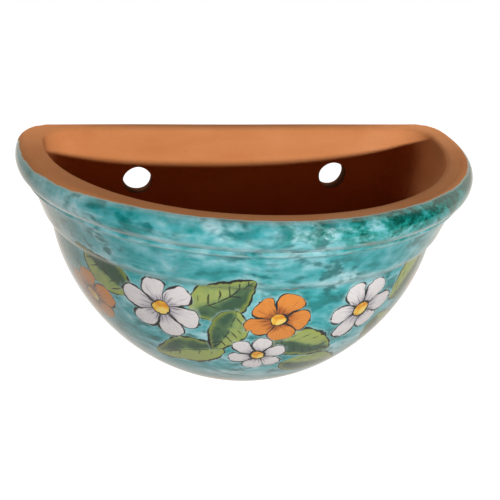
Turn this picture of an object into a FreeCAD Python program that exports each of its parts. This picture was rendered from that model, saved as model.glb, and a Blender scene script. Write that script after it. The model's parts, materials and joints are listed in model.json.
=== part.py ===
"""Half-round wall planter: a round terracotta bowl cut by the wall plane and closed with a flat back.

Frame, in mm: origin midway between the two hanging holes on the wall plane. +Y points into the wall,
-Y is the planter's front, +Z is up and +X runs along the wall. Depths are measured down from the rim.
"""
import FreeCAD, Part
import math
import os

os.makedirs("parts", exist_ok=True)

# ---- driving dimensions --------------------------------------------------------------------------
width = 300.0            # overall, across the glazed rim
axis_offset = 28.0       # the bowl's axis stands this far in front of the wall
height = 160.0           # rim top to foot
glaze_t = 0.6            # thickness of the fired glaze
slab_t = 10.5            # thickness of the flat back
wall_t = 9.0             # thickness of the bowl's wall
floor_t = 10.0           # thickness of the floor

rim_round = 9.0          # outer rounding of the rim's top
lip_w = 15.8             # width of the rim, outside of the clay to the inner edge
lip_round = 3.5          # inner rounding of the rim's top
collar_h = 17.0          # height of the rim collar
bead_h = 4.0             # height of the thin bead under the collar
bead_out = 2.4           # and how far it stands out of the band
band_inset = 8.0         # inset of the band's top from the rim
band_bottom = 44.0       # depth of the lower edge of the shoulder band
seat_depth = 6.0         # depth of the bowl's own top edge, under the collar

bowl_r = 129.6           # outer radius of the bowl where the shoulder band ends
bowl_drop = 130.0        # drop to where that curve would close
bowl_power = 1.82        # exponent of the bowl's curve: 2 is an ellipse, 1 a cone
corner_rim = 19.0        # plan rounding of the back corners at the rim
corner_foot = 12.0       # and at the foot
corner_angle = math.radians(20)  # the rounding stops this short of running into the wall plane
past_wall = 0.4          # the outer bodies run this far past the wall plane, and are cut flat there

hole_r = 10.0            # hanging holes
hole_spacing = 140.0
hole_depth = 37.0        # centres below the rim
drain_r = 6.0            # drain hole in the floor
drain_y = -62.0

glaze_start = 0.32       # the glaze starts this share of a quarter turn down the rim's rounding
glaze_back = 4.0         # it is wiped off this far in front of the wall
glaze_foot = 3.0         # and this far above the foot

clay_r = width / 2 - glaze_t
big = 2 * width


# ---- outlines --------------------------------------------------------------------------------------
def level(depth):
    return hole_depth - depth


def corner_at(depth):
    return corner_rim + (corner_foot - corner_rim) * depth / height


def pot_wire(r, depth, grow=0.0):
    """Plan outline: a circle cut just past the wall plane, with rounded back corners."""
    c = corner_at(depth) + grow
    cy = -corner_at(depth) * math.cos(corner_angle)
    cx = math.sqrt((r - c) ** 2 - (cy + axis_offset) ** 2)
    z = level(depth)
    meet = math.acos((past_wall - cy) / c)
    turn = math.atan2(cy + axis_offset, cx)
    half = (turn + math.pi / 2 - meet) / 2
    def on_circle(a):
        return FreeCAD.Vector(r * math.cos(a), -axis_offset + r * math.sin(a), z)
    def on_corner(side, a):
        return FreeCAD.Vector(side * (cx + c * math.cos(a)), cy + c * math.sin(a), z)
    end = cx + c * math.sin(meet)
    right, left = FreeCAD.Vector(end, past_wall, z), FreeCAD.Vector(-end, past_wall, z)
    front = FreeCAD.Vector(0, -axis_offset - r, z)
    r_end, l_end = on_corner(1, turn), on_corner(-1, turn)
    return Part.Wire([
        Part.makeLine(left, right),
        Part.Arc(right, on_corner(1, half), r_end).toShape(),
        Part.Arc(r_end, on_circle((turn - math.pi / 2) / 2), front).toShape(),
        Part.Arc(front, on_circle(-(turn + 3 * math.pi / 2) / 2), l_end).toShape(),
        Part.Arc(l_end, on_corner(-1, half), left).toShape()])


def hollow_wire(r, depth, back):
    """Plan outline of the inside: a circle cut by the face of the back."""
    z = level(depth)
    rise = axis_offset - back
    x = math.sqrt(r * r - rise * rise)
    right, left = FreeCAD.Vector(x, -back, z), FreeCAD.Vector(-x, -back, z)
    front = FreeCAD.Vector(0, -axis_offset - r, z)
    def between(side):
        a = (math.atan2(rise, x) - math.pi / 2) / 2
        return FreeCAD.Vector(side * r * math.cos(a), -axis_offset + r * math.sin(a), z)
    return Part.Wire([Part.makeLine(left, right), Part.Arc(right, between(1), front).toShape(),
                      Part.Arc(front, between(-1), left).toShape()])


def loft(wires, ruled=False):
    return Part.makeLoft(wires, True, ruled)


def bowl_radius(depth):
    t = max(depth - band_bottom, 0.0) / bowl_drop
    return bowl_r * (1 - t ** bowl_power) ** (1 / bowl_power)


# ---- outer bodies, each one level of the pot; grow adds the glaze ----------------------------------
def collar_body(grow=0.0):
    r0 = clay_r - rim_round
    wires = []
    for k in range(6):
        a = math.pi / 2 * k / 5
        wires.append(pot_wire(r0 + (rim_round + grow) * math.sin(a),
                              rim_round - (rim_round + grow) * math.cos(a), grow))
    for drop, inset in ((12.8, 0.7), (15.2, 2.6), (collar_h, 5.0)):
        wires.append(pot_wire(clay_r - inset + grow, drop + (grow if drop == collar_h else 0), grow))
    return loft(wires)


def bead_body(grow=0.0):
    r0 = clay_r - band_inset
    wires = []
    for k in range(5):
        a = math.pi * k / 4
        wires.append(pot_wire(r0 + bead_out * math.sin(a) + grow, collar_h + bead_h * (1 - math.cos(a)) / 2, grow))
    return loft(wires)


def band_body(grow=0.0):
    top, low = collar_h + bead_h, band_bottom
    side = loft([pot_wire(clay_r - band_inset + grow, top, grow), pot_wire(clay_r - 14.8 + grow, low - 3.5, grow)], True)
    edge = loft([pot_wire(clay_r - 14.8 + grow, low - 3.5, grow), pot_wire(clay_r - 15.9 + grow, low - 1.1, grow),
                 pot_wire(clay_r - 18.0 + grow, low + grow, grow)])
    return side.fuse(edge)


def bowl_body(grow=0.0):
    depths = [band_bottom + (height - band_bottom) * s for s in (0, .18, .36, .53, .68, .81, .92, 1)]
    return loft([pot_wire(bowl_radius(d) + grow, d, grow) for d in depths])


def core_body():
    """The thrown bowl's outside behind the bands, up to its own top edge."""
    depths = (seat_depth, 18.0, 31.0, band_bottom)
    lean = (clay_r - 9.5 - bowl_r) / (band_bottom - seat_depth)
    return loft([pot_wire(bowl_r + lean * (band_bottom - d), d) for d in depths], True)


def hollow():
    """The planting hollow as a full round, with a rounded edge at the rim."""
    r0, inner_floor = clay_r - lip_w, height - floor_t
    def at(r, depth):
        return FreeCAD.Vector(r, -axis_offset, level(depth))
    low = lip_round * (1 - math.sqrt(0.5))
    lip = Part.Arc(at(r0 + lip_round, 0), at(r0 + low, low), at(r0, lip_round)).toShape()
    well = []
    for s in (0, .25, .5, .7, .87, 1):
        d = band_bottom + (inner_floor - band_bottom) * s
        well.append(at(bowl_radius(d) - wall_t * (1 + 0.35 * s ** 3), d))
    wall = Part.BSplineCurve()
    wall.interpolate([at(r0, lip_round), at(r0 - 1.6, 12.0), at(r0 - 6.0, 26.0)] + well)
    foot, top = at(0, inner_floor), at(0, -2.0)
    wire = Part.Wire([Part.makeLine(top, at(r0 + lip_round, -2.0)),
                      Part.makeLine(at(r0 + lip_round, -2.0), at(r0 + lip_round, 0)), lip, wall.toShape(),
                      Part.makeLine(well[-1], foot), Part.makeLine(foot, top)])
    return Part.Face(wire).revolve(foot, FreeCAD.Vector(0, 0, 1), 360)


def slab_edge():
    """What the rounded inner edge at the top of the back leaves free."""
    r0, wires = clay_r - lip_w, []
    for k in range(5):
        a = math.pi / 2 * k / 4
        out = lip_round * (1 - math.sin(a))
        wires.append(hollow_wire(r0 + out, lip_round * (1 - math.cos(a)), slab_t - out))
    return loft(wires)


def box(x0, x1, y0, y1, z0, z1):
    return Part.makeBox(x1 - x0, y1 - y0, z1 - z0, FreeCAD.Vector(x0, y0, z0))


# ---- the pieces --------------------------------------------------------------------------------------
collar, bead, band, bowl, core = collar_body(), bead_body(), band_body(), bowl_body(), core_body()
inside = hollow()
front_side = box(-big, big, -big, -slab_t, -big, big)
back_side = box(-big, big, -slab_t, 0, -big, big)
outside = bowl.fuse([band, bead, collar])

bowl_shell = core.fuse(bowl).common(front_side).cut(inside)
drain = Part.makeCylinder(drain_r, 3 * floor_t, FreeCAD.Vector(0, drain_y, level(height) - floor_t))
bowl_shell = bowl_shell.cut(drain)

rim_collar = collar.common(front_side).cut(core).cut(inside)
bead_ring = bead.common(front_side).cut(core)
shoulder_band = band.common(front_side).cut(core).cut(bowl)

back_slab = outside.common(back_side).cut(slab_edge())
for side in (-1, 1):
    hole = Part.makeCylinder(hole_r, 4 * slab_t, FreeCAD.Vector(side * hole_spacing / 2, -3 * slab_t, 0),
                             FreeCAD.Vector(0, 1, 0))
    back_slab = back_slab.cut(hole)

grown = bowl_body(glaze_t).fuse([band_body(glaze_t), bead_body(glaze_t), collar_body(glaze_t)])
start = math.pi / 2 * glaze_start
start_r = clay_r - rim_round * (1 - math.sin(start))
start_depth = rim_round * (1 - math.cos(start))
keep = box(-big, big, -big, -glaze_back, level(height - glaze_foot), level(start_depth))
glaze_coat = grown.common(keep).cut(outside)

nodes = {"bowl_shell": bowl_shell, "rim_collar": rim_collar, "bead_ring": bead_ring,
         "shoulder_band": shoulder_band, "back_slab": back_slab, "glaze_coat": glaze_coat}
for name, shape in nodes.items():
    shape = shape.removeSplitter()
    if len(shape.Solids) == 1:
        shape = shape.Solids[0]
    b = shape.BoundBox
    print(name, "solids", len(shape.Solids), "valid", shape.isValid(), "volume", round(shape.Volume),
          "x", round(b.XMin, 2), round(b.XMax, 2), "y", round(b.YMin, 2), round(b.YMax, 2),
          "z", round(b.ZMin, 2), round(b.ZMax, 2))
    shape.exportStep("parts/%s.step" % name)
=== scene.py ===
"""Half-round terracotta wall planter with a rolled rim and a glazed, hand-painted outside.

Lengths are mm in the part's own frame, and each mesh is turned into metres when it is made: the origin is
midway between the hanging holes on the wall plane, -Y is the front, +Z is up. Depths run down from the rim.
"""

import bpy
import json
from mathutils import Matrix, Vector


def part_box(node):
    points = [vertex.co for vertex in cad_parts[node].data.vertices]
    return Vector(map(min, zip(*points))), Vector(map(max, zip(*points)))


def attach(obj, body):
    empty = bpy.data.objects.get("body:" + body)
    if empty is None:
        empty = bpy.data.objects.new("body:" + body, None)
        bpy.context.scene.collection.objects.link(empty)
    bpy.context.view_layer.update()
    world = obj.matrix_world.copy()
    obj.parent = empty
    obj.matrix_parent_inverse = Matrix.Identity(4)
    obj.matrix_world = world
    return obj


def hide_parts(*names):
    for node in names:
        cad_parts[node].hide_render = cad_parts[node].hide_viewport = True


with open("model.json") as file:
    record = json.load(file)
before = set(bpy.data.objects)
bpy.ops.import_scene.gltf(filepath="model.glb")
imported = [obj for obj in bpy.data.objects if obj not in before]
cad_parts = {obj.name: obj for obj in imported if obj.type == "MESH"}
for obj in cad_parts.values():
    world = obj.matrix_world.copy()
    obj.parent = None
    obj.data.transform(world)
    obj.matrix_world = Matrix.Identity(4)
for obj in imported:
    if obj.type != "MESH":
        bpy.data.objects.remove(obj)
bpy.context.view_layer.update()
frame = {"nodes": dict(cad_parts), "record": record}

import json
import math

import bmesh
import bpy
import numpy as np
from mathutils import Matrix, Vector

MM = 0.001

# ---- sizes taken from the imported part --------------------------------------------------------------
mounts = {mount["name"]: mount for mount in frame["record"]["mounts"]}
hole_r = mounts["hanging_holes"]["dims"]["hole_r_mm"]
hole_spacing = mounts["hanging_holes"]["dims"]["spacing_x_mm"]
rim_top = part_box("rim_collar")[1].z / MM
foot_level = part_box("bowl_shell")[0].z / MM
height = rim_top - foot_level

# ---- sizes that the pieces share -------------------------------------------------------------------
axis_offset = 28.0       # the bowl's axis stands this far in front of the wall
glaze_t = 0.6            # thickness of the glaze
clay_r = 149.4           # radius of the clay at the rim
slab_t = 10.5            # thickness of the flat back
wall_t = 9.0             # thickness of the bowl's wall
floor_t = 10.0           # thickness of the floor
rim_round = 9.0          # outer rounding of the rim's top
lip_w = 17.4             # width of the lip, from the outside of the clay to its inner edge
lip_round = 3.0          # inner rounding of the rim's top
slab_round = 4.5         # the back's front top edge is rounded more softly than the lip
slab_back_round = 2.0    # and its rear top edge less
collar_h = 17.0          # height of the rim's collar
bead_h = 4.0             # height of the bead under it
bead_swell = 3.5         # and how far the glazed bead stands out of the band
band_inset = 8.0         # inset of the band's top from the rim
band_bottom = 44.0       # depth of the band's lower edge
bowl_top = 46.4          # the glazed bowl's own curve starts at this depth
seat_depth = 6.0         # depth of the bowl's own top edge, under the rim
seat_r = clay_r - 9.5    # and its radius
bowl_r = 129.6           # radius of the bowl where the band ends
bowl_drop = 130.0        # drop to where the bowl's curve would close
bowl_power = 1.82        # exponent of that curve
corner_rim = 19.0        # plan rounding of the back corners at the rim
corner_foot = 12.0       # and at the foot
corner_angle = math.radians(20)  # that rounding stops this short of running into the wall plane
inner_corner = 18.0      # the wall runs into the back with a thumbed fillet
foot_round = 2.0         # rounding of the foot's edge
drain_r = 6.0            # drain hole in the floor
drain_y = -62.0
glaze_back = 4.2         # the glaze is wiped off this far in front of the wall
glaze_foot = 3.0         # and this far above the foot
glaze_fade = 4.5         # it thins out to nothing over this run towards the lip
under_glaze = 0.3        # the rim's clay keeps this much more clear of the glaze's face
fine_to = 50.0           # rows lie close together down to this depth
RUN_UNIT = 250.0         # mm down the glaze for one unit of its own map
# each hanging hole as it was cut by hand: side, moved right, moved up
HANGING_HOLES = [(-1, -1.2, -0.6), (1, -1.2, 1.4)]
hole_shrink = 0.35       # fired holes come out this much smaller in radius


def level(depth):
    return rim_top - depth


def corner_at(depth):
    return corner_rim + (corner_foot - corner_rim) * depth / height


def bowl_radius(depth):
    t = max(depth - band_bottom, 0.0) / bowl_drop
    return bowl_r * (1 - t ** bowl_power) ** (1 / bowl_power)


# ---- profiles: rows of (radius, depth) -------------------------------------------------------------
def spaced(points, step):
    """The same line with points at an even spacing."""
    points = np.asarray(points, float)
    run = np.concatenate([[0], np.cumsum(np.hypot(*np.diff(points, axis=0).T))])
    count = max(int(round(run[-1] / step)), 1)
    at = np.linspace(0, run[-1], count + 1)
    return np.stack([np.interp(at, run, points[:, k]) for k in (0, 1)], axis=1)


def softened(points, spread, step=0.25):
    """The line with its corners rounded as wet clay and melted glaze round them. Its ends stay."""
    line = spaced(points, step)
    reach = int(round(3 * spread / step))
    kernel = np.exp(-0.5 * (np.arange(-reach, reach + 1) * step / spread) ** 2)
    kernel /= kernel.sum()
    before = 2 * line[0] - line[reach:0:-1]
    after = 2 * line[-1] - line[-2:-reach - 2:-1]
    padded = np.concatenate([before, line, after])
    return np.stack([np.convolve(padded[:, k], kernel, "valid") for k in (0, 1)], axis=1)


def outward(line):
    """Unit normals of a profile that runs from the rim down its outside."""
    along = np.gradient(line, axis=0)
    across = np.stack([along[:, 1], -along[:, 0]], axis=1)
    return across / np.linalg.norm(across, axis=1, keepdims=True)


def smooth_through(points, step=1.0):
    """Catmull-Rom line through a few profile points."""
    p = np.asarray(points, float)
    p = np.concatenate([[2 * p[0] - p[1]], p, [2 * p[-1] - p[-2]]])
    out = []
    for a, b, c, d in zip(p, p[1:], p[2:], p[3:]):
        t = np.linspace(0, 1, 12, endpoint=False)[:, None]
        out.append(b + 0.5 * t * (c - a + t * (2 * a - 5 * b + 4 * c - d + t * (3 * (b - c) + d - a))))
    return spaced(np.concatenate(out + [p[-2:-1]]), step)


def outside_profile():
    """The glazed outside from the flat of the lip down to the foot."""
    centre_r = clay_r - rim_round
    turn = np.linspace(0, math.pi / 2, 40)
    glazed = rim_round + glaze_t
    rim = np.stack([centre_r + glazed * np.sin(turn), rim_round - glazed * np.cos(turn)], axis=1)
    surface = clay_r + glaze_t
    under = smooth_through([rim[-1], (surface - 0.7, 12.8), (surface - 2.6, 15.2),
                            (surface - 4.4, collar_h + 0.3)])
    swell = np.linspace(0.4, math.pi, 20)
    bead = np.stack([surface - band_inset + bead_swell * np.sin(swell),
                     collar_h + bead_h * (1 - np.cos(swell)) / 2], axis=1)
    band = [(surface - 14.5, band_bottom - 3.5), (surface - 15.2, band_bottom - 1.1),
            (surface - 17.0, band_bottom + 1.4), (bowl_r + glaze_t, bowl_top)]
    depths = np.linspace(bowl_top, height, 120)[1:]
    bowl = np.array([(bowl_radius(d) + glaze_t, d) for d in depths])
    line = np.concatenate([rim, under[1:], bead, band, bowl])
    crisp, soft = softened(line, 1.1), softened(line, 1.7)
    at_step = (crisp[:, 1] > band_bottom - 10)[:, None]
    return np.where(at_step, soft, crisp)


def inside_profile():
    """The planting hollow from the lip's inner edge down to the floor."""
    r0, floor_depth = clay_r - lip_w, height - floor_t
    wall = [(r0, lip_round), (r0 - 1.4, 12.0), (r0 - 5.0, 26.0)]
    for s in (0, .25, .5, .7, .87, 1):
        d = band_bottom + (floor_depth - band_bottom) * s
        wall.append((bowl_radius(d) - wall_t * (1 + 0.35 * s ** 3), d))
    whole = np.concatenate([smooth_through(wall), [(30.0, floor_depth)]])
    step, near_lip = 0.5, 40
    rounded = softened(whole, 4.0, step)
    rounded[:near_lip] = softened(whole, 0.6, step)[:near_lip]
    return rounded


def picked(line, fine, coarse, change=fine_to):
    """Fewer rows of the profile, fine down to depth `change` and coarse below, with their run."""
    run = np.concatenate([[0], np.cumsum(np.hypot(*np.diff(line, axis=0).T))])
    split = run[np.argmax(line[:, 1] > change)]
    below = np.linspace(split, run[-1], int((run[-1] - split) / coarse) + 1)
    at = np.concatenate([np.arange(0, split, fine), below])
    return np.stack([np.interp(at, run, line[:, k]) for k in (0, 1)], axis=1), at


# ---- plan outlines -----------------------------------------------------------------------------------
def outer_corner(depth, grow=0.0):
    """Radius and centre of an outer back corner."""
    return corner_at(depth) + grow, -corner_at(depth) * math.cos(corner_angle)


def front_ring(r, depth, corner, centre_y, start_y, n_corner=10, n_arc=130):
    """From the right end at start_y round the front to the left end."""
    cx = math.sqrt((r - corner) ** 2 - (centre_y + axis_offset) ** 2)
    turn = math.atan2(centre_y + axis_offset, cx)
    first = math.asin(min(max((start_y - centre_y) / corner, -1.0), 1.0))
    b = np.linspace(first, turn, n_corner + 1)
    a = np.linspace(turn, -math.pi / 2, n_arc + 1)[1:]
    half = np.concatenate([np.stack([cx + corner * np.cos(b), centre_y + corner * np.sin(b)], axis=1),
                           np.stack([r * np.cos(a), -axis_offset + r * np.sin(a)], axis=1)])
    ring = np.concatenate([half, half[-2::-1] * (-1, 1)])
    return np.column_stack([ring, np.full(len(ring), level(depth))])


def back_ring(r, depth, corner, centre_y, start_y, back_y, n_corner=8, n_line=80):
    """From the right end at start_y round the back to the left end."""
    cx = math.sqrt((r - corner) ** 2 - (centre_y + axis_offset) ** 2)
    first, last = (math.asin(min(max((y - centre_y) / corner, -1.0), 1.0)) for y in (start_y, back_y))
    b = np.linspace(first, last, n_corner + 1)
    side = np.stack([cx + corner * np.cos(b), centre_y + corner * np.sin(b)], axis=1)
    line = np.stack([np.linspace(side[-1, 0], -side[-1, 0], n_line + 1)[1:-1],
                     np.full(n_line - 1, side[-1, 1])], axis=1)
    ring = np.concatenate([side, line, side[::-1] * (-1, 1)])
    return np.column_stack([ring, np.full(len(ring), level(depth))])


def by_hand(points):
    """Moves points a little inwards and down, unevenly, as a pot formed by hand comes out."""
    x, y, z = points.T / 100.0
    sag = 0.5 + 0.25 * (np.sin(2.3 * x + 1.1 * y + 0.4) + np.sin(4.9 * x - 2.0 * y + 2.2))
    draw = 0.5 + 0.17 * (np.sin(3.1 * x + 2.6 * z + 1.0) + np.sin(6.3 * x - 5.2 * z + 2.0 * y)
                         + np.sin(1.7 * y - 7.5 * z + 0.6))
    depth = rim_top - points[:, 2]
    in_front = np.clip((-11.0 - points[:, 1]) / 25.0, 0, 1)
    out = points.copy()
    out[:, 2] -= (0.25 + 0.3 * sag) * np.clip(1 - depth / height, 0, 1)
    from_axis = points[:, :2] - (0, -axis_offset)
    reach = np.maximum(np.linalg.norm(from_axis, axis=1), 1.0)
    out[:, :2] -= (0.35 * draw * in_front / reach)[:, None] * from_axis
    return out


# ---- meshes --------------------------------------------------------------------------------------------
def strips(first_row, rows, cols):
    """Quads between neighbouring rows of a grid of points."""
    at = first_row + np.arange(rows * cols).reshape(rows, cols)
    return np.stack([at[:-1, :-1], at[1:, :-1], at[1:, 1:], at[:-1, 1:]], axis=-1).reshape(-1, 4).tolist()


def piece(name, points, faces, material, sharp=35.0, uv=None):
    """A closed clay or glaze piece from mm points, its faces turned outwards."""
    mesh = bpy.data.meshes.new(name)
    mesh.from_pydata((by_hand(np.asarray(points, float)) * MM).tolist(), [], faces)
    bm = bmesh.new()
    bm.from_mesh(mesh)
    if uv is not None:
        layer = bm.loops.layers.uv.new("around_and_down")
        for face in bm.faces:
            for loop in face.loops:
                loop[layer].uv = uv[loop.vert.index]
    bmesh.ops.remove_doubles(bm, verts=bm.verts, dist=1e-6)
    bmesh.ops.recalc_face_normals(bm, faces=bm.faces)
    wide = [f for f in bm.faces if len(f.verts) > 4]
    bmesh.ops.triangulate(bm, faces=wide)
    bm.to_mesh(mesh)
    bm.free()
    mesh.shade_smooth()
    mesh.set_sharp_from_angle(angle=math.radians(sharp))
    mesh.materials.append(material)
    thing = bpy.data.objects.new(name, mesh)
    bpy.context.scene.collection.objects.link(thing)
    return thing


def baked(thing):
    """Turns the piece with its modifiers into a plain mesh."""
    graph = bpy.context.evaluated_depsgraph_get()
    mesh = bpy.data.meshes.new_from_object(thing.evaluated_get(graph))
    thing.modifiers.clear()
    thing.data = mesh
    return thing


def drill(thing, name, r, centre, along, length, mouth, uneven):
    """Cuts a hand-made hole with rounded mouths through the piece."""
    around, steps = 64, np.linspace(0, math.pi / 2, 8)
    turn = np.linspace(0, 2 * math.pi, around, endpoint=False)
    wobble = 1 + uneven * (np.sin(2 * turn + 0.8) + 0.7 * np.sin(3 * turn + centre[0])
                           + 0.4 * np.sin(5 * turn))
    half = [(r + mouth * (1 - math.cos(s)), length / 2 - mouth * (1 - math.sin(s))) for s in steps]
    half.append((r + mouth, length / 2 + 5))    # the cutter reaches well past both faces
    rows = [(radius, -h) for radius, h in half[::-1]] + half
    points, faces = [], []
    for radius, h in rows:
        for a, w in zip(turn, wobble):
            u, v = radius * w * math.cos(a), radius * w * math.sin(a)
            local = (u, h, v) if along == "y" else (u, v, h)
            points.append(tuple(c + d for c, d in zip(centre, local)))
    for i in range(len(rows) - 1):
        for j in range(around):
            k = (j + 1) % around
            faces.append((i * around + j, (i + 1) * around + j, (i + 1) * around + k, i * around + k))
    faces.append(tuple(range(around)))
    faces.append(tuple((len(rows) - 1) * around + j for j in range(around)))
    cutter = piece(name, points, faces, thing.data.materials[0], 60)
    cut = thing.modifiers.new("hole", "BOOLEAN")
    cut.operation, cut.solver, cut.object = "DIFFERENCE", "EXACT", cutter
    baked(thing)
    bpy.data.objects.remove(cutter)


def settled_normals(thing, planes, sharp=40.0):
    """Lets flat faces keep their own shading where they meet small roundings.

    Each plane is given as its axis, its place in mm and the way it faces.
    """
    mesh = thing.data
    mesh.set_sharp_from_angle(angle=math.radians(sharp))
    count = len(mesh.loops)
    normals = np.empty(count * 3)
    mesh.corner_normals.foreach_get("vector", normals)
    normals = normals.reshape(-1, 3)
    at = np.empty(len(mesh.vertices) * 3)
    mesh.vertices.foreach_get("co", at)
    corner_of = np.empty(count, dtype=int)
    mesh.loops.foreach_get("vertex_index", corner_of)
    at = at.reshape(-1, 3)[corner_of]
    corners_of = [f.loop_total for f in mesh.polygons]
    face_normals = np.repeat([f.normal for f in mesh.polygons], corners_of, axis=0)
    for axis, place, facing in planes:
        there = (abs(at[:, axis] - place * MM) < 2e-6) & (face_normals[:, axis] * facing > 0.75)
        normals[there] = 0
        normals[there, axis] = facing
    mesh.normals_split_custom_set(normals.tolist())
    return thing


outside = outside_profile()
inside = inside_profile()
clay_line = outside - outward(outside) * glaze_t
glaze_rows, glaze_run = picked(outside, 0.65, 2.4)


def make_glaze(material):
    """The melted glass over the outside. It thins to nothing at the lip and ends short of wall and foot."""
    start = np.argmax(glaze_rows[:, 0] > clay_r - rim_round + 0.5)
    end = np.argmax(glaze_rows[:, 1] > height - glaze_foot)
    rows, run = glaze_rows[start:end], glaze_run[start:end]
    thick = glaze_t * np.clip((run - run[0]) / glaze_fade, 0.03, 1) ** 0.7
    clay = rows - outward(rows) * glaze_t
    outer = clay + outward(rows) * thick[:, None]
    inner = clay - outward(rows) * 0.1
    points, uv = [], []
    for line, grow in ((outer, glaze_t), (inner, 0.0)):
        for (r, depth), v in zip(line, run):
            corner, centre_y = outer_corner(max(depth, 0.0), grow)
            ring = front_ring(r, depth, corner, centre_y, -glaze_back, n_corner=12, n_arc=125)
            points.append(ring)
            uv += [(u, v / RUN_UNIT) for u in np.linspace(0, 1, len(ring))]
    cols, count = len(points[0]), len(rows)
    faces = strips(0, count, cols) + [f[::-1] for f in strips(count * cols, count, cols)]
    inner_at = count * cols
    for row in (0, count - 1):
        a, b = row * cols, inner_at + row * cols
        faces += [(a + j, a + j + 1, b + j + 1, b + j) for j in range(cols - 1)]
    for col in (0, cols - 1):
        column = [i * cols + col for i in range(count)]
        faces += [(a, b, inner_at + b, inner_at + a) for a, b in zip(column, column[1:])]
    return piece("glaze", np.concatenate(points), faces, material, 50, uv)


def lip_rows():
    """Rows over the lip: radius, depth, corner radius, corner centre, line of the back."""
    rows = []
    for turn in np.linspace(0, math.pi / 2, 9):
        out = lip_round * (1 - math.sin(turn))
        back = -slab_t + slab_round * (1 - math.sin(turn))
        corner = inner_corner + out
        rows.append((clay_r - lip_w + out, lip_round * (1 - math.cos(turn)), corner, back - corner, back))
    return rows


def clay_outside_rows(depth_from, depth_to, fine, coarse):
    """Rows of the clay's outside between two depths, from the top down."""
    out = []
    for r, depth in picked(clay_line, fine, coarse)[0]:
        if depth_from <= depth <= depth_to:
            depth = max(depth, 0.0)
            above = max(slab_back_round - depth, 0.0)
            back = math.sqrt(slab_back_round ** 2 - above ** 2) - slab_back_round
            out.append((r, depth, *outer_corner(depth), back))
    return out


def fillet_row(r, depth):
    """A row of the hollow, run into the back with the thumbed fillet."""
    return (r, depth, inner_corner, -slab_t - inner_corner, -slab_t)


def foot_rows():
    """Rounding of the foot's edge, from the side to the underside."""
    rows = []
    for turn in np.linspace(0, math.pi / 2, 6):
        r = clay_line[-1, 0] - foot_round * (1 - math.cos(turn))
        depth = height - foot_round * (1 - math.sin(turn))
        rows.append((r, depth, *outer_corner(depth), 0.0))
    return rows


def make_back(material):
    """The flat back, with its rounded top edges and the two hanging holes."""
    outer = clay_outside_rows(-1.0, height - foot_round, 0.8, 4.0)
    rows = foot_rows()[::-1] + outer[::-1] + lip_rows()
    rings = [back_ring(r, d, c, cy, -slab_t, back) for r, d, c, cy, back in rows]
    cols, count = len(rings[0]), len(rings)
    faces = strips(0, count, cols)
    right = [i * cols for i in range(count)]
    left = [i * cols + cols - 1 for i in range(count)]
    last = (count - 1) * cols
    faces.append(right + list(range(last + 1, last + cols - 1)) + left[::-1])
    faces.append(list(range(cols)))
    back = piece("back", np.concatenate(rings), faces, material)
    for side, aside, rise in HANGING_HOLES:
        centre = (side * hole_spacing / 2 + aside, -slab_t / 2, rise)
        drill(back, "hanging_hole_cutter", hole_r - hole_shrink, centre, "y", slab_t,
              mouth=0.6, uneven=0.018)
    return settled_normals(back, [(1, -slab_t, -1), (1, 0.0, 1)])


def front_piece(name, rows, material):
    """A piece in front of the back: its rows swept round the front, with flat ends on the back."""
    rings = [front_ring(r, d, c, cy, -slab_t) for r, d, c, cy, _ in rows]
    cols, count = len(rings[0]), len(rings)
    faces = strips(0, count, cols)
    last = (count - 1) * cols
    faces += [(last + j, j, j + 1, last + j + 1) for j in range(cols - 1)]
    faces.append([i * cols for i in range(count)])
    faces.append([i * cols + cols - 1 for i in range(count)])
    return piece(name, np.concatenate(rings), faces, material)


def make_rim(material):
    """The rolled rim, from under the collar over the lip to its seat on the bowl."""
    inner = [fillet_row(r, d) for r, d in inside if lip_round + 0.3 < d < seat_depth]
    inner.append(fillet_row(np.interp(seat_depth, inside[:, 1], inside[:, 0]), seat_depth))
    hidden = [(seat_r, seat_depth, *outer_corner(seat_depth), 0.0),
              (seat_r - 2.6, collar_h, *outer_corner(collar_h), 0.0)]
    outer = clay_outside_rows(-1.0, collar_h - 0.6, 0.8, 4.0)
    hide = [min(max((row[1] - 0.6) / 3.0, 0.0), 1.0) * under_glaze for row in outer]
    outer = [(row[0] - h, *row[1:]) for row, h in zip(outer, hide)]
    rows = outer[::-1] + lip_rows() + inner + hidden
    return front_piece("rim", rows, material)


def make_bowl(material):
    """The bowl with its floor and drain hole, open at the top and on the wall side."""
    lean = (seat_r - bowl_r) / (band_bottom - seat_depth)
    outer = [(bowl_r + lean * (band_bottom - d), d, *outer_corner(d), 0.0)
             for d in np.linspace(seat_depth, band_bottom, 8)]
    outer += [(bowl_radius(d), d, *outer_corner(d), 0.0)
              for d in np.linspace(band_bottom, height - foot_round, 40)[1:]]
    outer += foot_rows()[1:]
    inner = [fillet_row(np.interp(seat_depth, inside[:, 1], inside[:, 0]), seat_depth)]
    inner += [fillet_row(r, d) for r, d in picked(inside, 2.0, 2.0, 20)[0] if d > seat_depth + 0.5]
    rows = inner[::-1] + outer
    rings = [front_ring(r, d, c, cy, -slab_t) for r, d, c, cy, _ in rows]
    cols, count = len(rings[0]), len(rings)
    faces = strips(0, count, cols)
    faces.append(list(range(cols)))
    last = (count - 1) * cols
    faces.append(list(range(last, last + cols)))
    right = [i * cols for i in range(count)]
    left = [i * cols + cols - 1 for i in range(count)]
    faces.append(right + left[::-1])
    bowl = piece("bowl", np.concatenate(rings), faces, material)
    centre = (0, drain_y, foot_level + floor_t / 2)
    drill(bowl, "drain_cutter", drain_r, centre, "z", floor_t, mouth=1.0, uneven=0.01)
    return settled_normals(bowl, [(1, -slab_t, 1), (2, foot_level, -1), (2, foot_level + floor_t, 1)])


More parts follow.
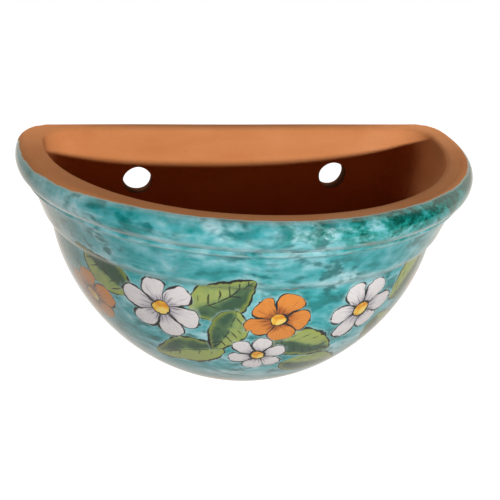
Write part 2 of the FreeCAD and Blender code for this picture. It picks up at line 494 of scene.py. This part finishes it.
# ---- materials -----------------------------------------------------------------------------------------
class Paper:
    """Writes nodes into one node tree. Each call fills sockets and gives an output back."""

    def __init__(self, tree):
        self.tree = tree

    def fill(self, node, inputs):
        """Links or sets the node's inputs, by name or number."""
        for key, value in inputs.items():
            if isinstance(value, bpy.types.NodeSocket):
                self.tree.links.new(value, node.inputs[key])
            else:
                node.inputs[key].default_value = value
        return node

    def add(self, kind, inputs, out=0, **settings):
        node = self.tree.nodes.new(kind)
        for key, value in settings.items():
            setattr(node, key, value)
        self.fill(node, inputs)
        return node if out is None else node.outputs[out]

    def calc(self, operation, *values, clamp=False):
        return self.add("ShaderNodeMath", dict(enumerate(values)), operation=operation, use_clamp=clamp)

    def times(self, a, b):
        return self.calc("MULTIPLY", a, b)

    def plus(self, a, b, clamp=False):
        return self.calc("ADD", a, b, clamp=clamp)

    def minus(self, a, b):
        return self.calc("SUBTRACT", a, b)

    def absolute(self, a):
        return self.calc("ABSOLUTE", a)

    def vector(self, operation, *values, out=0):
        return self.add("ShaderNodeVectorMath", dict(enumerate(values)), out, operation=operation)

    def scaled(self, point, factor):
        return self.add("ShaderNodeVectorMath", {0: point, "Scale": factor}, operation="SCALE")

    def noise(self, point, scale, detail=2.0, rough=0.5, out="Fac"):
        return self.add("ShaderNodeTexNoise",
                        {"Vector": point, "Scale": scale, "Detail": detail, "Roughness": rough}, out)

    def parts(self, point):
        return tuple(self.add("ShaderNodeSeparateXYZ", {0: point}).node.outputs)

    def rise(self, value, low, high, to_low=0.0, to_high=1.0):
        """A soft step of the value from low to high."""
        return self.add("ShaderNodeMapRange", {"Value": value, "From Min": low, "From Max": high,
                                               "To Min": to_low, "To Max": to_high},
                        interpolation_type="SMOOTHSTEP")

    def mix(self, share, under, over):
        """Lays one colour over another by a share."""
        under, over = ((*c, 1.0) if isinstance(c, tuple) else c for c in (under, over))
        return self.add("ShaderNodeMix", {0: share, 6: under, 7: over}, 2, data_type="RGBA")

    def ramp(self, value, stops):
        node = self.tree.nodes.new("ShaderNodeValToRGB")
        self.tree.links.new(value, node.inputs[0])
        marks = node.color_ramp.elements
        while len(marks) < len(stops):
            marks.new(1.0)
        for mark, (place, colour) in zip(marks, stops):
            mark.position = place
            mark.color = (*colour, 1.0)
        return node.outputs[0]

    def use(self, group, inputs):
        """Places a shared group and returns its outputs."""
        node = self.tree.nodes.new("ShaderNodeGroup")
        node.node_tree = group
        return self.fill(node, inputs).outputs

    def hand_out(self, sockets, values):
        """Links values to a group's outputs or a shader's inputs."""
        for label, value in values.items():
            self.tree.links.new(value, sockets[label])


def shared_group(name, inputs, outputs):
    """An empty shader group with named sockets: the paper to write on, its inputs and its outputs."""
    group = bpy.data.node_groups.new(name, "ShaderNodeTree")
    for label, kind in inputs:
        group.interface.new_socket(label, in_out="INPUT", socket_type="NodeSocket" + kind)
    for label, kind in outputs:
        group.interface.new_socket(label, in_out="OUTPUT", socket_type="NodeSocket" + kind)
    start = group.nodes.new("NodeGroupInput")
    end = group.nodes.new("NodeGroupOutput")
    return group, Paper(group), start.outputs, end.inputs


def new_material(name):
    material = bpy.data.materials.new(name)
    material.use_nodes = True
    paper = Paper(material.node_tree)
    point = paper.add("ShaderNodeTexCoord", {}, "Object")
    return material, paper, point, material.node_tree.nodes["Principled BSDF"]


def make_clay_group():
    """Fired clay: broad tone, fine grain, sparse dark grits and the relief of all three."""
    group, paper, given, result = shared_group(
        "fired_clay", [("Point", "Vector")],
        [("Tone", "Float"), ("Grain", "Float"), ("Grit", "Float"), ("Relief", "Float")])
    point = given["Point"]
    cloud = paper.noise(point, 16.0, 3.0, 0.55)
    wipe = paper.noise(paper.vector("MULTIPLY", point, (22.0, 22.0, 90.0)), 1.0, 2.0, 0.5)
    tone = paper.plus(paper.times(cloud, 0.65), paper.times(wipe, 0.35))
    grain = paper.noise(point, 700.0, 3.0, 0.6)
    spots = paper.add("ShaderNodeTexVoronoi", {"Vector": point, "Scale": 160.0}, "Distance")
    which = paper.noise(point, 55.0, 1.0)
    grit = paper.times(paper.rise(spots, 0.16, 0.06), paper.rise(which, 0.55, 0.66))
    relief = paper.plus(paper.times(grain, 0.35), paper.times(wipe, 0.8))
    relief = paper.minus(relief, paper.times(grit, 0.6))
    paper.hand_out(result, {"Tone": tone, "Grain": grain, "Grit": grit, "Relief": relief})
    return group


bare_shine = 0.15        # specular level of dry clay
CLAY_TONES = [(0.32, (0.54, 0.195, 0.066)), (0.5, (0.604, 0.236, 0.087)), (0.68, (0.655, 0.275, 0.115))]
# colour of the painted shade low inside the pot
PAINTED_DEEP_SHADE = (0.27, 0.075, 0.018)
HOLE_SHADE = (0.07, 0.02, 0.007)


def make_terracotta(clay):
    """Bare fired clay, with painted shade that makes it darker and redder low inside the pot, and painted
    shade in the hanging holes.
    """
    material, paper, point, shader = new_material("fired_terracotta")
    made = paper.use(clay, {"Point": point})
    colour = paper.ramp(made["Tone"], CLAY_TONES)
    colour = paper.mix(paper.rise(made["Grain"], 0.35, 0.65, 0.10, 0.0), colour, (0.42, 0.15, 0.05))
    colour = paper.mix(paper.times(made["Grit"], 0.35), colour, (0.25, 0.09, 0.035))
    x, y, z = paper.parts(point)
    # painted shade: the clay turns darker and redder low in the hollow and on the back's inner face, down
    # to just above the foot
    painted_deep_shade = paper.times(paper.rise(z, 0.012, -0.030, 0.0, 0.5), paper.rise(y, -0.006, -0.010))
    painted_deep_shade = paper.times(painted_deep_shade, paper.rise(z, -0.119, -0.112))
    colour = paper.mix(painted_deep_shade, colour, PAINTED_DEEP_SHADE)
    # painted shade: the clay inside the hanging holes is darkened to HOLE_SHADE
    aside = paper.minus(paper.absolute(x), hole_spacing / 2 * MM)
    squares = paper.plus(paper.calc("POWER", aside, 2.0), paper.calc("POWER", z, 2.0))
    off_axis = paper.calc("SQRT", squares)
    in_hole = paper.rise(off_axis, (hole_r + 3.5) * MM, (hole_r + 2.5) * MM, 0.0, 0.8)
    in_hole = paper.times(in_hole, paper.rise(y, -slab_t * MM, -(slab_t - 0.6) * MM))
    colour = paper.mix(in_hole, colour, HOLE_SHADE)
    dull = paper.rise(made["Tone"], 0.3, 0.7, 0.68, 0.78)
    dull = paper.plus(dull, paper.times(in_hole, 0.3))
    bump = paper.add("ShaderNodeBump", {"Strength": 0.35, "Distance": 0.0003, "Height": made["Relief"]})
    paper.hand_out(shader.inputs, {"Base Color": colour, "Roughness": dull, "Normal": bump})
    shader.inputs["Specular IOR Level"].default_value = bare_shine
    return material


def make_blossom_group():
    """A painted blossom in its own plane: petals, their streaks, the eye and the brush's dark outline.

    Place is measured from the blossom's centre in radii. Sort holds petals, fullness and chance.
    """
    group, paper, given, result = shared_group(
        "blossom", [("Point", "Vector"), ("Place", "Vector"), ("Sort", "Vector"), ("Brush", "Float")],
        [("Petal", "Float"), ("Streak", "Float"), ("Eye", "Float"), ("Ink", "Float"), ("Halo", "Float")])
    x, y, _ = paper.parts(given["Place"])
    petals, fullness, chance_seed = paper.parts(given["Sort"])
    far = paper.vector("LENGTH", given["Place"], out="Value")
    sector = paper.calc("DIVIDE", paper.times(paper.calc("ARCTAN2", y, x), petals), 2 * math.pi)
    sector = paper.plus(sector, 50.0)
    which = paper.plus(paper.calc("FLOOR", sector), paper.times(chance_seed, 31.7))
    within = paper.minus(paper.calc("FRACT", sector), 0.5)
    chance = paper.add("ShaderNodeTexWhiteNoise", {"W": which}, "Value", noise_dimensions="1D")
    shifted = paper.plus(which, 0.37)
    other = paper.add("ShaderNodeTexWhiteNoise", {"W": shifted}, "Value", noise_dimensions="1D")
    lean = paper.times(paper.minus(other, 0.5), 0.20)
    angle = paper.times(paper.plus(within, lean), 2 * math.pi)
    angle = paper.calc("DIVIDE", angle, petals)
    reach = paper.calc("MULTIPLY_ADD", chance, 0.20, 0.80)
    along = paper.calc("DIVIDE", paper.times(far, paper.calc("COSINE", angle)), reach)
    aside = paper.absolute(paper.times(far, paper.calc("SINE", angle)))
    along = paper.calc("MAXIMUM", along, 0.0001)
    taper = paper.minus(1.0, paper.calc("POWER", along, 3.2))
    taper = paper.calc("SQRT", paper.calc("MAXIMUM", taper, 0.0))
    half = paper.times(paper.times(paper.calc("POWER", along, 0.66), taper), fullness)
    edge = paper.calc("MINIMUM", paper.minus(half, aside), paper.minus(1.0, along))
    fold = paper.minus(0.5, paper.absolute(within))
    seam = paper.calc("DIVIDE", paper.times(fold, 2 * math.pi), petals)
    edge = paper.calc("MINIMUM", edge, paper.times(far, seam))
    stroke = paper.noise(given["Point"], 110.0, 1.0)
    line = paper.times(given["Brush"], paper.rise(stroke, 0.3, 0.7, 0.35, 1.3))
    ink = paper.rise(paper.minus(paper.absolute(edge), line), 0.014, -0.014)
    eye_edge = paper.minus(paper.calc("MULTIPLY_ADD", stroke, 0.08, 0.19), far)
    ring = paper.rise(paper.minus(paper.absolute(eye_edge), line), 0.014, -0.014)
    ink = paper.calc("MAXIMUM", paper.times(ink, paper.rise(far, 0.17, 0.21)), ring)
    thirds = paper.calc("FRACT", paper.calc("MULTIPLY_ADD", within, 3.0, 0.5))
    from_ray = paper.times(paper.absolute(paper.minus(thirds, 0.5)), far)
    ray_end = paper.rise(paper.plus(along, paper.times(stroke, 0.5)), 0.80, 0.60)
    ray = paper.times(paper.rise(from_ray, 0.055, 0.018), ray_end)
    ray = paper.times(ray, paper.rise(far, 0.20, 0.24, 0.0, 0.6))
    ink = paper.calc("MAXIMUM", ink, ray)
    vein_at = paper.add("ShaderNodeCombineXYZ", {0: paper.times(angle, 8.0), 1: along, 2: which})
    near_eye = paper.times(paper.rise(along, 0.65, 0.2), 0.25)
    streak = paper.plus(paper.times(paper.noise(vein_at, 2.4, 3.0, 0.65), 0.75), near_eye)
    paper.hand_out(result, {"Petal": paper.rise(edge, -0.012, 0.014), "Streak": streak,
                            "Eye": paper.rise(eye_edge, -0.014, 0.014), "Ink": ink,
                            "Halo": paper.rise(edge, -0.16, -0.02)})
    return group


def make_leaf_group():
    """A painted leaf in its own plane: its blade, dark wash, pale margin, outline and veins.

    Place is measured from the leaf's middle in lengths. Sort holds width, bend and chance.
    """
    group, paper, given, result = shared_group(
        "leaf", [("Point", "Vector"), ("Place", "Vector"), ("Sort", "Vector"), ("Brush", "Float")],
        [("Blade", "Float"), ("Wash", "Float"), ("Margin", "Float"), ("Ink", "Float"), ("Halo", "Float")])
    p, q, _ = paper.parts(given["Place"])
    width, bend, chance = paper.parts(given["Sort"])
    q = paper.plus(q, paper.times(bend, paper.times(p, p)))
    run = paper.plus(p, 0.5, clamp=True)
    belly = paper.calc("SINE", paper.times(paper.calc("POWER", run, 0.78), math.pi))
    half = paper.calc("POWER", paper.calc("MAXIMUM", belly, 0.0), 0.75)
    half = paper.times(half, paper.times(width, 0.5))
    notch = paper.calc("MULTIPLY_ADD", paper.noise(given["Point"], 230.0, 1.0), 0.07, -0.035)
    side = paper.absolute(q)
    edge = paper.plus(paper.minus(half, side), notch)
    edge = paper.calc("MINIMUM", edge, paper.minus(0.5, paper.absolute(p)))
    stroke = paper.noise(given["Point"], 85.0, 1.0)
    line = paper.times(given["Brush"], paper.rise(stroke, 0.32, 0.68, 0.25, 1.7))
    outline = paper.rise(paper.minus(paper.absolute(edge), line), 0.008, -0.008)
    rib = paper.rise(paper.minus(side, paper.times(line, 0.4)), 0.007, -0.007)
    slant = paper.times(paper.minus(p, paper.times(side, 0.9)), 6.5)
    slant = paper.plus(paper.plus(slant, 20.0), paper.times(q, 0.9))
    vein = paper.absolute(paper.minus(paper.calc("FRACT", slant), 0.5))
    vein = paper.rise(vein, paper.times(line, 7.0), 0.0)
    share = paper.calc("DIVIDE", side, paper.calc("MAXIMUM", half, 0.001))
    vein = paper.times(vein, paper.rise(share, 0.8, 0.55))
    vein = paper.times(vein, paper.rise(stroke, 0.42, 0.56))
    blade = paper.rise(edge, -0.006, 0.010)
    ink = paper.calc("MAXIMUM", outline, paper.times(paper.calc("MAXIMUM", rib, vein), blade))
    pool = paper.noise(paper.vector("ADD", given["Point"], (0.3, 0.1, 0.2)), 55.0, 3.0, 0.6)
    shaded = paper.times(paper.rise(q, -0.1, 0.1), 0.3)
    wash = paper.plus(paper.times(pool, 0.7), shaded)
    wash = paper.plus(wash, paper.calc("MULTIPLY_ADD", chance, 0.14, -0.07))
    paper.hand_out(result, {"Blade": blade, "Wash": wash, "Margin": paper.rise(edge, 0.10, 0.01),
                            "Ink": ink, "Halo": paper.rise(edge, -0.07, -0.01)})
    return group


def on_bowl(around, depth):
    """A place on the glazed bowl, its right and its up. Around counts degrees from the front."""
    a = math.radians(around)
    r = bowl_radius(depth) + glaze_t
    slope = (bowl_radius(depth + 1) - bowl_radius(depth - 1)) / 2
    point = Vector((r * math.sin(a), -axis_offset - r * math.cos(a), level(depth))) * MM
    right = Vector((math.cos(a), math.sin(a), 0))
    up = Vector((-slope * math.sin(a), slope * math.cos(a), 1)).normalized()
    return point, right, up


# each leaf: around, depth, length, width share, heading in degrees from the right, bend
LEAVES_UNDER = [
    (-50, 54, 44, 0.62, 150, 0.25), (-15, 54, 46, 0.60, 38, -0.2), (-27, 102, 50, 0.56, 205, -0.3),
    (40, 100, 46, 0.56, 300, 0.2), (-84, 112, 46, 0.58, 160, -0.25), (84, 118, 46, 0.58, 330, -0.2),
    (-106, 78, 44, 0.6, 60, 0.2), (110, 84, 44, 0.6, 110, -0.2), (16, 116, 46, 0.58, 345, 0.2)]
LEAVES_OVER = [
    (9, 92, 46, 0.60, 335, 0.25), (43, 58, 42, 0.60, 40, 0.2), (-82, 66, 42, 0.6, 28, 0.2),
    (-14, 80, 38, 0.58, 250, 0.2), (88, 62, 42, 0.56, 160, 0.2), (-60, 128, 40, 0.56, 330, 0.2)]
# each blossom: around, depth, radius, petals, turn, fullness
WHITE_BLOSSOMS = [
    (-32, 68, 26.0, 6, 0.3, 0.46), (24, 70, 25.0, 6, 0.6, 0.46), (-5, 100, 20.0, 6, 0.9, 0.46),
    (-98, 76, 24.0, 6, 0.1, 0.46), (112, 112, 22.0, 6, 0.4, 0.46), (78, 96, 23.0, 6, 0.2, 0.46)]
ORANGE_BLOSSOMS = [
    (-1, 68, 21.0, 5, 0.55, 0.60), (-58, 80, 23.0, 5, 1.0, 0.60), (56, 80, 22.0, 5, 0.7, 0.60),
    (-18, 148, 18.0, 5, 0.4, 0.60), (-122, 108, 20.0, 5, 0.5, 0.60), (44, 142, 18.0, 5, 0.1, 0.60)]
LAYERS = {"leaves_under": LEAVES_UNDER, "leaves_over": LEAVES_OVER,
          "orange_blossoms": ORANGE_BLOSSOMS, "white_blossoms": WHITE_BLOSSOMS}
NOWHERE = 9.0            # the place of faces that no motif of a layer touches
INK = (0.008, 0.009, 0.010)
# pale colour of the edges: partly glaze worn thin, partly painted highlight
WORN_HIGHLIGHT_WASH = (0.52, 0.68, 0.68)
THIN_GLAZE = (0.34, 0.50, 0.44)


def lay_out_painting(thing):
    """Gives each face the plane coordinates of the motif that it lies in, one map for each layer."""
    mesh = thing.data
    corners, at = len(mesh.loops), np.empty(len(mesh.vertices) * 3)
    mesh.vertices.foreach_get("co", at)
    corner_of = np.empty(corners, dtype=int)
    mesh.loops.foreach_get("vertex_index", corner_of)
    at = at.reshape(-1, 3)[corner_of]
    sizes = np.array([f.loop_total for f in mesh.polygons])
    firsts = np.concatenate([[0], np.cumsum(sizes)[:-1]])
    middle = np.repeat(np.add.reduceat(at, firsts) / sizes[:, None], sizes, axis=0)
    for name, motifs in LAYERS.items():
        nearest = np.full(corners, 1.6)
        place = np.full((corners, 2), NOWHERE)
        sort = np.zeros((corners, 3))
        for number, (around, depth, size, first, turned, last) in enumerate(motifs):
            centre, right, up = (np.array(v) for v in on_bowl(around, depth))
            leaf = name.startswith("leaves")
            heading = math.radians(turned) if leaf else turned
            x_way = right * math.cos(heading) + up * math.sin(heading)
            y_way = up * math.cos(heading) - right * math.sin(heading)
            reach = size * MM
            far = np.linalg.norm(middle - centre, axis=1) / (reach * (0.62 if leaf else 1.0))
            mine = far < nearest
            nearest[mine] = far[mine]
            away = (at[mine] - centre) / reach
            place[mine] = np.stack([away @ x_way, away @ y_way], axis=1)
            sort[mine] = (first, last, (0.37 * number + 0.11) % 1.0)
        mesh.uv_layers.new(name=name).uv.foreach_set("vector", place.ravel())
        kept = mesh.attributes.new(name + "_sort", "FLOAT_VECTOR", "CORNER")
        kept.data.foreach_set("vector", sort.ravel())


def paint_background(paper, point, down):
    """Watery turquoise laid on by brush, with dark dabs, a dark sponged side of the rim and pale edges that
    are partly glaze worn thin and partly painted highlight.
    """
    bend = paper.vector("SUBTRACT", paper.noise(point, 30.0, 1.0, 0.5, "Color"), (0.5, 0.5, 0.5))
    bent = paper.vector("ADD", point, paper.scaled(bend, 0.012))
    pools = paper.noise(paper.vector("MULTIPLY", bent, (27.0, 27.0, 58.0)), 1.0, 3.0, 0.55)
    brush = paper.noise(paper.vector("MULTIPLY", bent, (75.0, 75.0, 300.0)), 1.0, 2.0, 0.6)
    blots = paper.noise(paper.vector("MULTIPLY", bent, (110.0, 110.0, 150.0)), 1.0, 2.0, 0.5)
    x, _, z = paper.parts(point)
    on_collar = paper.rise(z, 0.016, 0.021)
    value = paper.times(pools, 0.62)
    value = paper.plus(value, paper.times(brush, 0.12))
    value = paper.plus(value, paper.times(blots, 0.26))
    middle = paper.rise(paper.absolute(x), 0.07, 0.02, 0.0, 0.045)
    value = paper.plus(value, paper.times(on_collar, middle))
    colour = paper.ramp(value, [(0.385, (0.003, 0.225, 0.225)), (0.445, (0.026, 0.345, 0.360)),
                                (0.505, (0.105, 0.445, 0.480)), (0.560, (0.235, 0.560, 0.600)),
                                (0.630, (0.430, 0.690, 0.725))])
    elsewhere = paper.vector("ADD", bent, (0.2, 0.5, 0.1))
    dabs = paper.noise(paper.vector("MULTIPLY", elsewhere, (85.0, 85.0, 170.0)), 1.0, 2.0, 0.55)
    crowd = paper.noise(point, 26.0, 1.0)
    dab = paper.times(paper.rise(dabs, 0.47, 0.66), paper.rise(crowd, 0.38, 0.58))
    colour = paper.mix(paper.times(dab, 0.9), colour, (0.001, 0.140, 0.140))
    patch = paper.noise(paper.vector("MULTIPLY", bent, (70.0, 70.0, 110.0)), 1.0, 4.0, 0.68)
    side = paper.rise(x, -0.03, 0.09, 0.0, 0.15)
    side = paper.plus(side, paper.rise(z, 0.022, 0.034, -0.03, 0.04))
    soaked = paper.plus(patch, side)
    on_side = paper.times(on_collar, paper.rise(x, -0.05, 0.06, 0.22, 1.0))
    wet = paper.times(paper.rise(soaked, 0.50, 0.62), on_side)
    colour = paper.mix(paper.times(wet, 0.9), colour, (0.004, 0.270, 0.225))
    grain = paper.rise(paper.noise(point, 380.0, 2.0, 0.6), 0.36, 0.60, 0.60, 1.0)
    dark = paper.times(paper.times(paper.rise(soaked, 0.59, 0.70), on_side), grain)
    colour = paper.mix(paper.times(dark, 0.95), colour, (0.000, 0.070, 0.052))
    # pale lines along the convex edges of collar, bead and band: partly glaze worn thin, partly painted
    # highlight
    worn_and_highlight = 0.0
    for edge_at in worn_highlight_edges:
        away = paper.absolute(paper.minus(down, edge_at / RUN_UNIT))
        worn_and_highlight = paper.calc("MAXIMUM", worn_and_highlight, paper.rise(away, 0.0110, 0.0010))
    worn_and_highlight = paper.times(worn_and_highlight, paper.rise(brush, 0.35, 0.6, 0.05, 0.34))
    return paper.mix(worn_and_highlight, colour, WORN_HIGHLIGHT_WASH)


def motif_places(paper, layer, shake):
    """Where a layer's motifs lie on the glaze, shaken a little, and what sort they are."""
    sort = paper.add("ShaderNodeAttribute", {}, "Vector", attribute_name=layer + "_sort")
    return paper.vector("ADD", paper.add("ShaderNodeUVMap", {}, uv_map=layer), shake), sort


def paint_motifs(paper, point, colour, blossom, leaf):
    """Lays the leaves and then the blossoms over the background."""
    shake = paper.noise(point, 75.0, 2.0, 0.6, "Color")
    shake = paper.vector("SUBTRACT", shake, (0.5, 0.5, 0.5))
    for layer in ("leaves_under", "leaves_over"):
        place, sort = motif_places(paper, layer, paper.scaled(shake, 0.10))
        made = paper.use(leaf, {"Point": point, "Place": place, "Sort": sort, "Brush": 0.0150})
        colour = paper.mix(paper.times(made["Halo"], 0.35), colour, (0.42, 0.62, 0.55))
        green = paper.ramp(made["Wash"], [(0.36, (0.030, 0.090, 0.045)), (0.46, (0.085, 0.175, 0.070)),
                                          (0.52, (0.210, 0.310, 0.105)), (0.64, (0.340, 0.410, 0.110))])
        green = paper.mix(paper.times(made["Margin"], 0.55), green, (0.36, 0.42, 0.05))
        colour = paper.mix(made["Blade"], colour, green)
        colour = paper.mix(made["Ink"], colour, INK)
    for layer, light, dark in (("orange_blossoms", (0.74, 0.25, 0.035), (0.40, 0.09, 0.010)),
                               ("white_blossoms", (0.78, 0.73, 0.72), (0.46, 0.42, 0.47))):
        place, sort = motif_places(paper, layer, paper.scaled(shake, 0.20))
        made = paper.use(blossom, {"Point": point, "Place": place, "Sort": sort, "Brush": 0.031})
        colour = paper.mix(paper.times(made["Halo"], 0.30), colour, (0.50, 0.66, 0.66))
        petal = paper.mix(paper.rise(made["Streak"], 0.36, 0.66), light, dark)
        colour = paper.mix(made["Petal"], colour, petal)
        eye_tone = paper.noise(place, 3.0, 1.0)
        eye = paper.ramp(eye_tone, [(0.35, (0.72, 0.24, 0.012)), (0.5, (0.86, 0.46, 0.03)),
                                 (0.62, (0.90, 0.66, 0.16))])
        colour = paper.mix(made["Eye"], colour, eye)
        colour = paper.mix(made["Ink"], colour, INK)
    return colour


def make_painted_glaze(clay, blossom, leaf):
    """The painting under clear glass, which ends in a ragged thin edge on the lip's bare clay."""
    material, paper, point, shader = new_material("painted_glaze")
    _, down, _ = paper.parts(paper.add("ShaderNodeUVMap", {}, uv_map="around_and_down"))
    colour = paint_background(paper, point, down)
    colour = paint_motifs(paper, point, colour, blossom, leaf)
    ragged = paper.minus(paper.noise(point, 90.0, 4.0, 0.65), 0.5)
    ragged = paper.times(ragged, 0.012)
    x, y, _ = paper.parts(point)
    wiped = paper.rise(paper.absolute(x), 0.05, 0.135, -0.009, 0.006)
    wiped = paper.plus(wiped, paper.rise(x, -0.09, -0.14, 0.0, 0.008))
    wiped = paper.plus(wiped, paper.rise(y, -0.030, -0.006, 0.0, 0.045))
    covered = paper.minus(paper.plus(down, ragged), wiped)
    edge_at = glaze_edge_run / RUN_UNIT
    body = paper.use(clay, {"Point": point})
    bare = paper.ramp(body["Tone"], CLAY_TONES)
    thin = paper.rise(covered, edge_at, edge_at + 0.007)
    colour = paper.mix(thin, THIN_GLAZE, colour)
    over = paper.rise(covered, edge_at - 0.001, edge_at + 0.002)
    colour = paper.mix(over, bare, colour)
    waves = paper.noise(paper.vector("MULTIPLY", point, (45.0, 45.0, 110.0)), 1.0, 2.0, 0.5)
    bump = paper.add("ShaderNodeBump", {"Strength": 0.25, "Distance": 0.0006, "Height": waves})
    paper.hand_out(shader.inputs, {"Base Color": colour, "Normal": bump,
                                   "Roughness": paper.rise(over, 0.0, 1.0, 0.75, 0.12),
                                   "Coat Weight": paper.rise(over, 0.0, 1.0, 0.0, 1.0)})
    shader.inputs["Specular IOR Level"].default_value = bare_shine
    shader.inputs["Coat Roughness"].default_value = 0.05
    shader.inputs["Coat IOR"].default_value = 2.0
    return material


# the glaze's run at its ragged edge on the lip, and at the edges painted pale, partly as glaze worn thin
# and partly as painted highlight
on_lip = 20              # rows of the glaze over the lip
edge_r = clay_r + glaze_t - 5.8
glaze_edge_run = float(np.interp(edge_r, glaze_rows[:on_lip, 0], glaze_run[:on_lip]))
worn_highlight_depths = (13.6, collar_h + bead_h / 2, band_bottom - 2.0)
worn_highlight_edges = [float(np.interp(depth, glaze_rows[on_lip:, 1], glaze_run[on_lip:])) for depth in worn_highlight_depths]
clay = make_clay_group()
terracotta = make_terracotta(clay)
glazed = make_painted_glaze(clay, make_blossom_group(), make_leaf_group())

back = make_back(terracotta)
rim = make_rim(terracotta)
bowl = make_bowl(terracotta)
glaze = make_glaze(glazed)
lay_out_painting(glaze)
for thing, node, slot in ((back, "back_slab", "terracotta"), (rim, "rim_collar", "terracotta"),
                          (bowl, "bowl_shell", "terracotta"), (glaze, "glaze_coat", "glaze")):
    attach(thing, "root")
    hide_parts(node)
for node in ("bead_ring", "shoulder_band"):
    frame["nodes"][node].data.materials.clear()
    frame["nodes"][node].data.materials.append(terracotta)


# ---- room ----------------------------------------------------------------------------------------------
ROOM_TINT = (1.0, 0.93, 0.82)    # the pale surroundings that the glaze mirrors


def make_floor():
    """A plain pale floor below the hanging pot. It shows white to the camera and glows warm in the glaze's
    reflections, more towards the back.
    """
    reach, below = 3000.0, -500.0
    mesh = bpy.data.meshes.new("floor")
    corners = [(x * reach, y * reach, below) for x, y in ((-1, -1), (1, -1), (1, 1), (-1, 1))]
    mesh.from_pydata([tuple(c * MM for c in p) for p in corners], [], [(0, 1, 2, 3)])
    material = bpy.data.materials.new("pale_floor")
    material.use_nodes = True
    tree = material.node_tree
    tree.nodes.clear()
    paper = Paper(tree)
    ray = paper.add("ShaderNodeLightPath", {}).node.outputs
    _, y, _ = paper.parts(paper.add("ShaderNodeNewGeometry", {}, "Position"))
    behind = paper.rise(y, -0.2, 0.6, 0.15, 0.56)
    mirrored = paper.calc("MAXIMUM", ray["Is Glossy Ray"], ray["Is Transmission Ray"])
    white = paper.calc("MAXIMUM", ray["Is Camera Ray"], paper.times(mirrored, behind))
    tint = paper.mix(ray["Is Camera Ray"], ROOM_TINT, (1.0, 1.0, 1.0))
    paint = paper.add("ShaderNodeBsdfDiffuse", {"Color": (0.8, 0.8, 0.8, 1)})
    shine = paper.add("ShaderNodeEmission", {"Color": tint, "Strength": white})
    paper.add("ShaderNodeOutputMaterial", {0: paper.add("ShaderNodeAddShader", {0: paint, 1: shine})}, None)
    mesh.materials.append(material)
    floor = bpy.data.objects.new("floor", mesh)
    bpy.context.scene.collection.objects.link(floor)


# each small lamp behind a corner of the rim: name, place along the wall, watts
RIM_LAMPS = [("left_top_lamp", -170.0, 0.36), ("right_top_lamp", 170.0, 0.42)]


def hang_lamp(name, lamp, place, softness):
    """Puts a lamp of the given radius at a place in mm, out of sight of the glaze."""
    lamp.shadow_soft_size = softness
    holder = bpy.data.objects.new(name, lamp)
    holder.location = place * MM
    holder.visible_glossy = False
    bpy.context.scene.collection.objects.link(holder)
    return holder


def make_light():
    """A studio lamp in front, a little above the rim, and two weak ones for the rim's corners."""
    rise, aside, distance = math.radians(10.0), math.radians(5.7), 1500.0
    towards = Vector((math.sin(aside) * math.cos(rise), -math.cos(aside) * math.cos(rise), math.sin(rise)))
    lamp = bpy.data.lights.new("front_lamp", "SPOT")
    lamp.energy = 4 * math.pi ** 2 * (distance * MM) ** 2    # lights a facing surface at the plain level
    lamp.spot_size = math.radians(26)
    lamp.spot_blend = 0.3
    holder = hang_lamp("front_lamp", lamp, towards * distance, 0.025)
    holder.rotation_euler = towards.to_track_quat("Z", "Y").to_euler()
    for name, along_wall, watts in RIM_LAMPS:
        lamp = bpy.data.lights.new(name, "POINT")
        lamp.energy = watts
        hang_lamp(name, lamp, Vector((along_wall, 50.0, 120.0)), 0.03).visible_camera = False


def make_world():
    """White to the camera, soft light from behind, and the dim warm room that the glaze mirrors."""
    world = bpy.data.worlds.new("studio")
    bpy.context.scene.world = world
    world.use_nodes = True
    tree = world.node_tree
    tree.nodes.clear()
    paper = Paper(tree)
    ray = paper.add("ShaderNodeLightPath", {}).node.outputs
    _, y, _ = paper.parts(paper.add("ShaderNodeTexCoord", {}, "Generated"))
    soft = paper.rise(y, -0.05, 0.12, 0.0, 0.30)
    mirrored = paper.rise(y, -0.10, 0.30, 0.02, 0.54)
    any_mirror = paper.calc("MAXIMUM", ray["Is Glossy Ray"], ray["Is Transmission Ray"])
    level_of = paper.add("ShaderNodeMix", {0: any_mirror, 2: soft, 3: mirrored})
    level_of = paper.add("ShaderNodeMix", {0: ray["Is Camera Ray"], 2: level_of, 3: 1.0})
    tint = paper.mix(any_mirror, (1.0, 1.0, 1.0), ROOM_TINT)
    sky = paper.add("ShaderNodeBackground", {"Color": tint, "Strength": level_of})
    paper.add("ShaderNodeOutputWorld", {0: sky}, None)


def make_camera():
    """The photograph's viewpoint, fitted to the pot's outline."""
    azimuth, elevation, roll = -0.2237, 0.4451, 0.0658
    distance, lens = 521.35, 58.92
    target = Vector((-5.44, -85.0, -20.55))
    back = Vector((math.sin(azimuth) * math.cos(elevation), -math.cos(azimuth) * math.cos(elevation),
                   math.sin(elevation)))
    right = (-back).cross(Vector((0, 0, 1))).normalized()
    up = right.cross(-back)
    turned = Matrix((math.cos(roll) * right + math.sin(roll) * up,
                     -math.sin(roll) * right + math.cos(roll) * up, back)).transposed()
    camera = bpy.data.cameras.new("camera")
    camera.lens = lens
    camera.sensor_width = 36.0    # mm, for the lens above
    camera.clip_start = 0.01
    holder = bpy.data.objects.new("camera", camera)
    holder.matrix_world = Matrix.Translation((target + back * distance) * MM) @ turned.to_4x4()
    bpy.context.scene.collection.objects.link(holder)
    bpy.context.scene.camera = holder


make_floor()
make_light()
make_world()
make_camera()
bpy.context.scene.view_settings.view_transform = "Standard"
